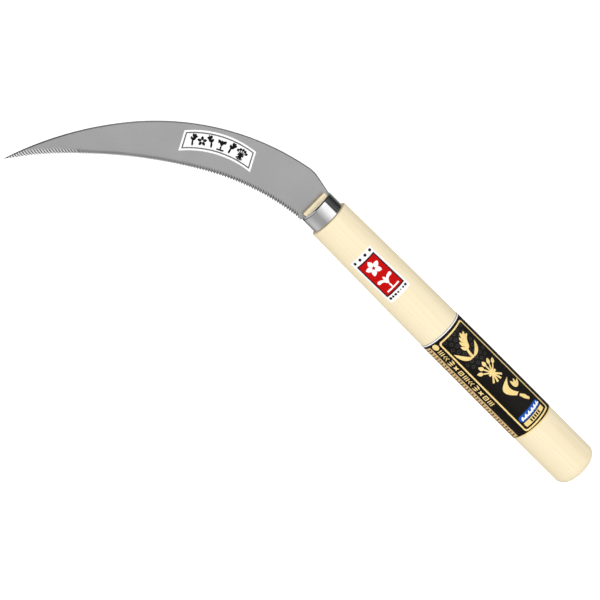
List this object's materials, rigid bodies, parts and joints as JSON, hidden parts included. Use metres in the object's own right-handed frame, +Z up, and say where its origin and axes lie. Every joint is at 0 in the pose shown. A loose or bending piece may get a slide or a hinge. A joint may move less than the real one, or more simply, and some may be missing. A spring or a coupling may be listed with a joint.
{
  "type": "hand sickle",
  "caption": "Hand sickle with a curved, finely sawn stainless blade pinned by its tang in a round wooden handle behind a steel ferrule, with paper labels.",
  "frame": {"origin": "bottom centre of the object as it lies on the ground, on the label's underside and the blade's tip", "axes": "+X along the handle towards the blade, +Y towards the side that the blade curves to, +Z up, on the side of the blade's sawn face"},
  "size_m": [0.3888, 0.1244, 0.0303],
  "materials": {
    "blade_steel": "fine satin stainless sheet",
    "handle_wood": "bare pale wood, turned and sanded smooth",
    "ferrule_steel": "polished and plated",
    "pin_steel": "plain wire nail",
    "blade_label_paper": "coated white paper with black print",
    "sticker_paper": "coated white paper with red and black print",
    "wrap_paper": "coated black paper with gold and blue print"
  },
  "bodies": {
    "root": {"blade": "blade_steel", "handle": "handle_wood", "ferrule": "ferrule_steel", "tang_pin": "pin_steel", "blade_label": "blade_label_paper", "handle_sticker": "sticker_paper", "handle_label": "wrap_paper"}
  },
  "joints": []
}
